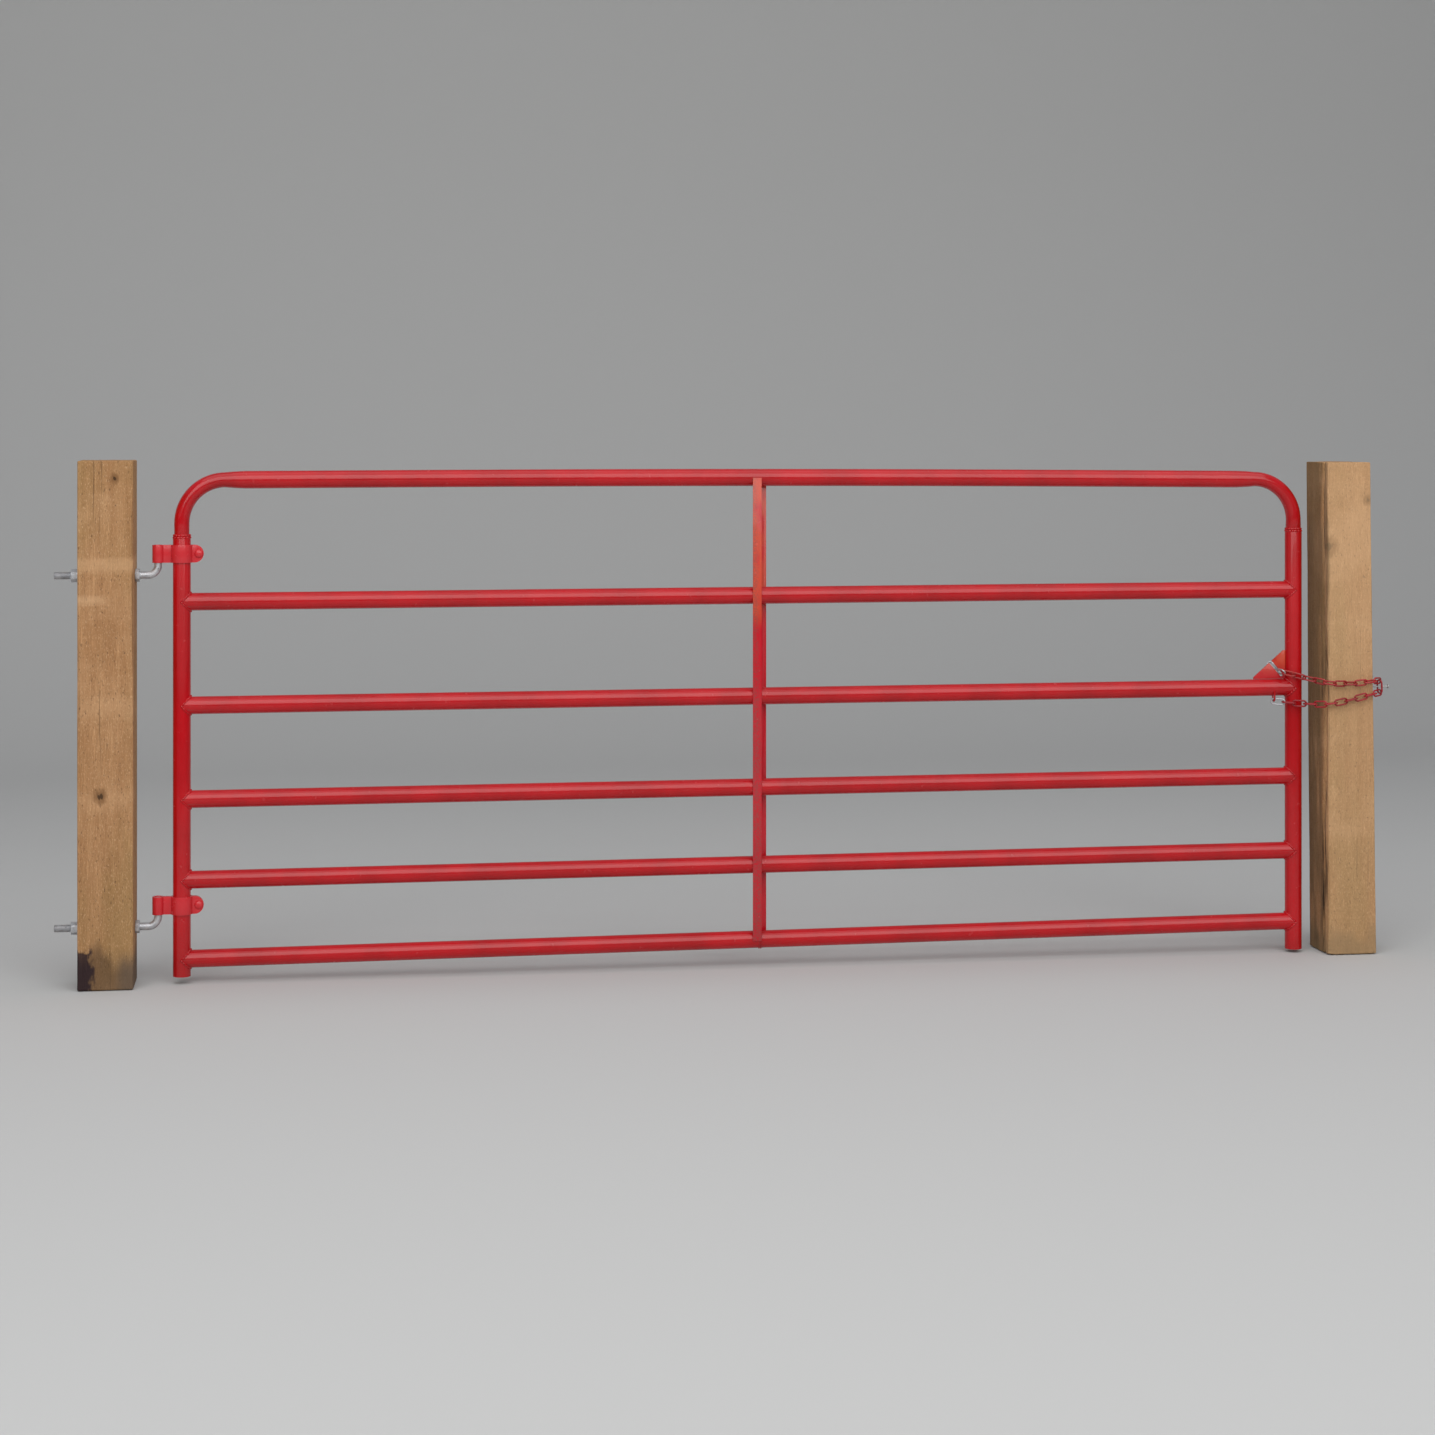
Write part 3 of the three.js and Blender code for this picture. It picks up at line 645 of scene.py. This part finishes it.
for side in ("upper", "lower"):
    low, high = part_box(side + "_hook_bolt")
    radius = high.y
    height = low.z + radius
    x = low.x
    hook = start_ring(side + "_hook", radius * ROD_POINT, (x, 0, height), ALONG_X, ROD_SIDES)
    extrude((HALF_PITCH, 0, 0))
    bpy.ops.transform.resize(value=(1, 1 / ROD_POINT, 1 / ROD_POINT), center_override=(x, 0, height))
    x += HALF_PITCH
    for step in range(2 * THREADS):
        extrude((HALF_PITCH, 0, 0))
        x += HALF_PITCH
        scale = THREAD_ROOT if step % 2 == 0 else 1 / THREAD_ROOT
        bpy.ops.transform.resize(value=(1, scale, scale), center_override=(x, 0, height))
    bend_x = PIN_X - HOOK_BEND
    extrude((bend_x - x, 0, 0))
    centre = (bend_x, 0, height + HOOK_BEND)
    bpy.ops.mesh.spin(steps=12, angle=math.radians(90), center=centre, axis=(0, 1, 0))
    extrude((0, 0, high.z - PIN_CHAMFER - centre[2]))
    extrude((0, 0, PIN_CHAMFER))
    bpy.ops.transform.resize(value=(PIN_TIP, PIN_TIP, 1), center_override=(PIN_X, 0, high.z))
    face_outwards(True)
    smooth(hook, 30)
    clad(hook, galvanised, "posts", [side + "_hook_bolt"])


def worked_copy(node, edge, degrees=35):
    """A copy of a CAD piece with its sharp edges rolled off, as cutting or forging leaves them."""
    piece = bpy.data.objects.new(node + "_worked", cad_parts[node].data.copy())
    bpy.context.collection.objects.link(piece)
    bpy.ops.object.select_all(action="DESELECT")
    piece.select_set(True)
    bpy.context.view_layer.objects.active = piece
    bpy.ops.object.mode_set(mode="EDIT")
    bpy.ops.mesh.select_all(action="SELECT")
    bpy.ops.mesh.remove_doubles(threshold=0.00001)
    bpy.ops.mesh.dissolve_limited(angle_limit=math.radians(1))
    bpy.ops.object.mode_set(mode="OBJECT")
    rolled = piece.modifiers.new("rolled_edges", "BEVEL")
    rolled.width = edge
    rolled.segments = 3
    rolled.limit_method = "ANGLE"
    rolled.angle_limit = math.radians(40)
    apply_modifiers(piece)
    smooth(piece, degrees)
    return piece


for side in ("upper", "lower"):
    for part, edge in (("_outer_washer", WASHER_EDGE), ("_outer_nut", NUT_EDGE), ("_inner_nut", NUT_EDGE)):
        clad(worked_copy(side + part, edge), galvanised, "posts", [side + part])

# Stiles and rails.
# 1-3/4 in round steel tube with a 1.65 mm wall, dipped in red enamel. The top rail is bent down
# at both ends and necked to push into the stiles. The other rails are saddle cut and welded on.
TUBE_SIDES = 56
TUBE_WALL = 0.00165
TUBE_RADIUS = (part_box("hinge_stile")[1].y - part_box("hinge_stile")[0].y) / 2
GATE_RED = (0.52, 0.001, 0.006, 1)
GATE_RED_DEEP = (0.42, 0.001, 0.004, 1)
DUST_PINK = (0.46, 0.10, 0.09, 1)
CHIP_BROWN = (0.16, 0.07, 0.06, 1)


def enamel(name, red, shade, sunlit_tone=None, sunlit_from=0.0, gloss=0.20):
    """Semi-gloss dip enamel: slight sags of tone, orange peel, dust and thin edges worn through. A given
    sunlit tone is laid in patches on the upper part, as painted sunlight.
    """
    material, tree, shader, place = new_material(name)
    colour = tint(tree, red, shade, mottle(tree, 9.0, 7.0, 0.35, 0.7))
    # Painted sunlight: a lighter tone in patches above a given height.
    if sunlit_tone:
        sunlit = times(tree, ramp(tree, place[2], sunlit_from, sunlit_from + 0.06), 0.75)
        sunlit = times(tree, sunlit, mottle(tree, 30.0, 14.0, 0.25, 0.55))
        colour = tint(tree, colour, sunlit_tone, sunlit)
    dust = mottle(tree, 60.0, 60.0, 0.60, 0.80)
    colour = tint(tree, colour, DUST_PINK, times(tree, dust, 0.10))
    colour = tint(tree, colour, CHIP_BROWN, times(tree, worn_edges(tree, 0.02), 0.5))
    put(tree, colour, shader.inputs["Base Color"])
    put(tree, ramp(tree, dust, 0.0, 1.0, gloss, gloss + 0.15), shader.inputs["Roughness"])
    orange_peel = mottle(tree, 380.0, 380.0, 0.2, 0.8)
    put(tree, bump(tree, orange_peel, 0.0001, 0.12), shader.inputs["Normal"])
    shader.inputs["Specular IOR Level"].default_value = 0.35
    shader.inputs["Coat Weight"].default_value = 0.35
    shader.inputs["Coat Roughness"].default_value = 0.04
    return material


gate_enamel = enamel("gate_enamel", GATE_RED, GATE_RED_DEEP)


def give_wall(tube):
    wall = tube.modifiers.new("wall", "SOLIDIFY")
    wall.thickness = TUBE_WALL
    wall.offset = -1
    apply_modifiers(tube)


def middle_x(node):
    low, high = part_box(node)
    return (low.x + high.x) / 2


STILE_X = {"hinge": middle_x("hinge_stile"), "latch": middle_x("latch_stile")}
STILE_LIP = 0.003
STILE_LIP_SCALE = 0.97
for end, x in STILE_X.items():
    low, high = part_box(end + "_stile")
    stile = start_ring(end + "_stile_tube", TUBE_RADIUS, (x, 0, low.z), (0, 0, 0), TUBE_SIDES)
    extrude((0, 0, high.z - low.z - STILE_LIP))
    extrude((0, 0, STILE_LIP))
    bpy.ops.transform.resize(value=(STILE_LIP_SCALE, STILE_LIP_SCALE, 1), center_override=(x, 0, high.z))
    face_outwards(False)
    give_wall(stile)
    smooth(stile)
    clad(stile, gate_enamel, "gate", [end + "_stile"])

BEND_RADIUS = 0.108
BEND_FLAT = 0.86
BEND_WIDE = 1.03
EASE = (0.02, 0.05)
HINGE_END_Z = 1.257
LATCH_END_Z = 1.250
RAIL_BOW = 0.005
BOW_STEPS = 12
NECK = 0.80
NECK_SHOWS = 0.004
SHOULDER = 0.012
SHOULDER_DEEP = 1.16
HINGE_SHOULDER_WIDE = 1.06
LATCH_SHOULDER_WIDE = 1.12
neck_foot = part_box("top_rail")[0].z
stile_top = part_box("hinge_stile")[1].z
ring_place = Vector((STILE_X["hinge"], 0, neck_foot))
top_rail = start_ring("top_rail_tube", TUBE_RADIUS * NECK, ring_place, (0, 0, 0), TUBE_SIDES)


def draw_to(place, scale=(1, 1, 1)):
    """Draws the open ring on to a new centre and changes its size there."""
    extrude(Vector(place) - ring_place)
    ring_place[:] = place
    bpy.ops.transform.resize(value=scale, center_override=ring_place)


def spin_bend(centre, end):
    bpy.ops.mesh.spin(steps=20, angle=math.radians(-90), center=centre, axis=(0, 1, 0))
    ring_place[:] = end


hinge_x, latch_x = STILE_X.values()
bend_start = HINGE_END_Z - BEND_RADIUS
draw_to((hinge_x, 0, stile_top + NECK_SHOWS))
draw_to((hinge_x, 0, stile_top + SHOULDER), (HINGE_SHOULDER_WIDE, SHOULDER_DEEP, 1))
to_bend = (BEND_FLAT / (NECK * HINGE_SHOULDER_WIDE), BEND_WIDE / (NECK * SHOULDER_DEEP), 1)
draw_to((hinge_x, 0, bend_start), to_bend)
centre = Vector((hinge_x + BEND_RADIUS, 0, bend_start))
spin_bend(centre, (centre.x, 0, HINGE_END_Z))
draw_to((centre.x + EASE[0], 0, HINGE_END_Z), (1, 1 / BEND_WIDE ** 0.5, 1 / BEND_FLAT ** 0.6))
draw_to((centre.x + EASE[1], 0, HINGE_END_Z), (1, 1 / BEND_WIDE ** 0.5, 1 / BEND_FLAT ** 0.4))
run_end = latch_x - BEND_RADIUS
for step in range(1, BOW_STEPS):
    share = step / BOW_STEPS
    x = centre.x + EASE[1] + share * (run_end - centre.x - 2 * EASE[1])
    z = HINGE_END_Z + share * (LATCH_END_Z - HINGE_END_Z)
    draw_to((x, 0, z + RAIL_BOW * math.sin(share * math.pi)))
draw_to((run_end - EASE[1], 0, LATCH_END_Z))
draw_to((run_end - EASE[0], 0, LATCH_END_Z), (1, BEND_WIDE ** 0.5, BEND_FLAT ** 0.4))
draw_to((run_end, 0, LATCH_END_Z), (1, BEND_WIDE ** 0.5, BEND_FLAT ** 0.6))
centre = Vector((run_end, 0, LATCH_END_Z - BEND_RADIUS))
spin_bend(centre, (latch_x, 0, centre.z))
from_bend = (NECK * LATCH_SHOULDER_WIDE / BEND_FLAT, NECK * SHOULDER_DEEP / BEND_WIDE, 1)
draw_to((latch_x, 0, stile_top + SHOULDER), from_bend)
draw_to((latch_x, 0, stile_top + NECK_SHOWS), (1 / LATCH_SHOULDER_WIDE, 1 / SHOULDER_DEEP, 1))
draw_to((latch_x, 0, neck_foot))
face_outwards(False)
give_wall(top_rail)
smooth(top_rail)
clad(top_rail, gate_enamel, "gate", ["top_rail"])

RAILS = ("rail_2", "rail_3", "rail_4", "rail_5", "rail_6")
RAIL_SPANS = 8
SADDLE_GAP = 0.0002
SADDLE_LENGTH = 0.2
rail_heights = {}
for rail in RAILS:
    low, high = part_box(rail)
    hinge_z, latch_z = rail_heights[rail] = (low.z + TUBE_RADIUS, high.z - TUBE_RADIUS)
    tube = start_ring(rail + "_tube", TUBE_RADIUS, (hinge_x, 0, hinge_z), ALONG_X, TUBE_SIDES)
    for span in range(RAIL_SPANS):
        extrude(((latch_x - hinge_x) / RAIL_SPANS, 0, (latch_z - hinge_z) / RAIL_SPANS))
    face_outwards(False)
    give_wall(tube)
    for x in STILE_X.values():
        saddle_place = (x, 0, (hinge_z + latch_z) / 2)
        bpy.ops.mesh.primitive_cylinder_add(
            vertices=96, radius=TUBE_RADIUS + SADDLE_GAP, depth=SADDLE_LENGTH, location=saddle_place)
        cut_away(tube, bpy.context.object)
    smooth(tube)
    clad(tube, gate_enamel, "gate", [rail])

# Weld beads.
# A rippled bead of weld metal runs round each rail where it meets a stile, dipped over with the
# same enamel. Two beads, one on the other, close each stile's top round the necked top rail.
BEAD = 0.0031
BEAD_RIPPLES = 26
RIPPLE_DEPTH = 0.035
BEAD_WANDER = 0.02
COLLAR_BEAD = 0.0034
COLLAR_BEADS = ((1, 0.001, 0.87), (2, 0.0065, 0.83))


def weld_ring(name, place, turn, radius, thickness, saddle_side=0, ripples=BEAD_RIPPLES):
    """A rippled ring of weld. With a saddle side it follows the stile's round surface."""
    bpy.ops.mesh.primitive_torus_add(
        major_segments=104, minor_segments=10, major_radius=radius, minor_radius=thickness,
        location=place, rotation=turn)
    bead = bpy.context.object
    bead.name = name
    bpy.ops.object.transform_apply(location=True, rotation=True, scale=True)
    middle = Vector(place)
    for vertex in bead.data.vertices:
        away = vertex.co - middle
        angle = math.atan2(away.z, away.y) if turn == ALONG_X else math.atan2(away.y, away.x)
        wander = BEAD_WANDER * math.sin(3 * angle + middle.z * 40)
        swell = 1 + RIPPLE_DEPTH * math.sin(ripples * angle) + wander
        if saddle_side:
            vertex.co.y = middle.y + away.y * swell
            vertex.co.z = middle.z + away.z * swell
            vertex.co.x += saddle_side * TUBE_RADIUS * abs(math.sin(angle))
        else:
            vertex.co = middle + away * swell
    smooth(bead, 60)
    clad(bead, gate_enamel, "gate")


for rail, (hinge_z, latch_z) in rail_heights.items():
    weld_ring(rail + "_hinge_weld", (hinge_x, 0, hinge_z), ALONG_X, TUBE_RADIUS, BEAD, 1)
    weld_ring(rail + "_latch_weld", (latch_x, 0, latch_z), ALONG_X, TUBE_RADIUS, BEAD, -1)
for end, x in STILE_X.items():
    for number, rise, share in COLLAR_BEADS:
        name = f"{end}_collar_weld_{number}"
        place = (x, 0, stile_top + rise)
        weld_ring(name, place, (0, 0, 0), TUBE_RADIUS * share, COLLAR_BEAD, 0, 11 + 4 * number)

# Centre brace.
# A rolled steel Z section that the middle rails pass through, notched over the top and bottom
# rails. Thin welds hold it to each rail below the top one. Its head is painted a sunlit orange.
BRACE_X = 1.643
BRACE_WELD_REACH = 0.0024
BRACE_BEAD = 0.0012
BRACE_BEAD_RISE = 0.0004
BRACE_SUNLIT_FROM = 0.86
BRACE_RED = (0.62, 0.006, 0.020, 1)
BRACE_RED_DEEP = (0.54, 0.004, 0.016, 1)
BRACE_SUNLIT_ORANGE = (0.66, 0.085, 0.030, 1)
brace_enamel = enamel("brace_enamel", BRACE_RED, BRACE_RED_DEEP, BRACE_SUNLIT_ORANGE, BRACE_SUNLIT_FROM)
clad(worked_copy("centre_brace", 0.0008), brace_enamel, "gate", ["centre_brace"])
brace_share = (BRACE_X - hinge_x) / (latch_x - hinge_x)
for rail, (hinge_z, latch_z) in rail_heights.items():
    brace_z = hinge_z + brace_share * (latch_z - hinge_z)
    for side, offset in (("left", -BRACE_WELD_REACH), ("right", BRACE_WELD_REACH)):
        place = (BRACE_X + offset, 0, brace_z)
        name = f"{rail}_brace_weld_{side}"
        weld_ring(name, place, ALONG_X, TUBE_RADIUS + BRACE_BEAD_RISE, BRACE_BEAD)

# Hinge straps and their bolts.
# One strip of steel is folded round the pin and the stile, and a carriage bolt pinches its two
# tails so that it grips. It was dipped with the gate, and has a brighter, thinner coat.
STRAP_RED = (0.62, 0.024, 0.032, 1)
STRAP_RED_DEEP = (0.54, 0.010, 0.018, 1)
strap_enamel = enamel("strap_enamel", STRAP_RED, STRAP_RED_DEEP, gloss=0.27)
for side in ("upper", "lower"):
    for part, edge in (("_hinge_strap", 0.0010), ("_strap_bolt", 0.0006), ("_strap_nut", 0.0008)):
        clad(worked_copy(side + part, edge), strap_enamel, "gate", [side + part])

# Gusset and chain eye.
# The gusset is a sheared triangular plate in the corner over the third rail, and its slot keeps a
# chain link. The eye is a bent wire welded under the rail. The gusset is painted a sunlit orange higher
# up.
GUSSET_SUNLIT_FROM = 0.72
GUSSET_RED = (0.52, 0.012, 0.016, 1)
GUSSET_RED_DEEP = (0.44, 0.004, 0.012, 1)
GUSSET_SUNLIT_ORANGE = (0.60, 0.08, 0.03, 1)
gusset_enamel = enamel("gusset_enamel", GUSSET_RED, GUSSET_RED_DEEP, GUSSET_SUNLIT_ORANGE, GUSSET_SUNLIT_FROM)
clad(worked_copy("chain_gusset", 0.0008), gusset_enamel, "gate", ["chain_gusset"])
clad(worked_copy("chain_eye", 0.0002, 60), gate_enamel, "gate", ["chain_eye"])

# Nail.
# A round wire nail, drawn from bare steel and upset into a flat head. It is driven into the far
# side of the latch post, and the chain hangs over it.
NAIL_GREY = (0.48, 0.47, 0.46, 1)
NAIL_DULL = (0.34, 0.32, 0.30, 1)
nail_steel = zinc("nail_steel", NAIL_GREY, NAIL_DULL)
clad(worked_copy("chain_nail", 0.0002, 50), nail_steel, "posts", ["chain_nail"])

# Chain.
# Twenty-four welded oval links of thin wire. The first and the last two are plated, and the rest
# were dipped red with the gate. The red is painted lighter on the upper run, as painted sunlight.
LINK_BEND = 0.0074
LINK_WIRE = 0.00225
LINK_REACH = 0.0173
LINK_SEAM_TURN = math.radians(5)
LINKS = 24
PLATED_LINKS = (1, 23, 24)
CHAIN_SUNLIT_FROM = 0.70
CHAIN_RED = (0.40, 0.014, 0.022, 1)
CHAIN_RED_DEEP = (0.26, 0.005, 0.010, 1)
CHAIN_SUNLIT_RED = (0.48, 0.06, 0.04, 1)
chain_enamel = enamel(
    "chain_enamel", CHAIN_RED, CHAIN_RED_DEEP, CHAIN_SUNLIT_RED, CHAIN_SUNLIT_FROM, gloss=0.33)

bpy.ops.mesh.primitive_torus_add(
    major_segments=36, minor_segments=14, major_radius=LINK_BEND, minor_radius=LINK_WIRE,
    rotation=(0, 0, LINK_SEAM_TURN))
pattern_link = bpy.context.object
bpy.ops.object.transform_apply(location=True, rotation=True, scale=True)
for way in (1, -1):
    pick(pattern_link, "VERT", lambda co: co.x * way > 0)
    bpy.ops.transform.translate(value=(way * (LINK_REACH - LINK_BEND), 0, 0))
bpy.ops.object.mode_set(mode="OBJECT")
smooth(pattern_link, 60)

for number in range(1, LINKS + 1):
    node = f"chain_link_{number:02d}"
    corners = numpy.array([vertex.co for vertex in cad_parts[node].data.vertices])
    middle = corners.mean(axis=0)
    along, across, _ = numpy.linalg.svd(corners - middle, full_matrices=False)[2]
    upright = numpy.cross(along, across)
    turn = Matrix([along, across, upright]).transposed().to_4x4()
    link = bpy.data.objects.new(node + "_wire", pattern_link.data.copy())
    bpy.context.collection.objects.link(link)
    link.data.transform(Matrix.Translation(Vector(middle)) @ turn)
    body = "keeper_link" if number == LINKS else "gate"
    if number in PLATED_LINKS:
        clad(link, galvanised, body, [node])
    else:
        clad(link, chain_enamel, body, [node])
bpy.data.objects.remove(pattern_link)

bpy.context.view_layer.update()
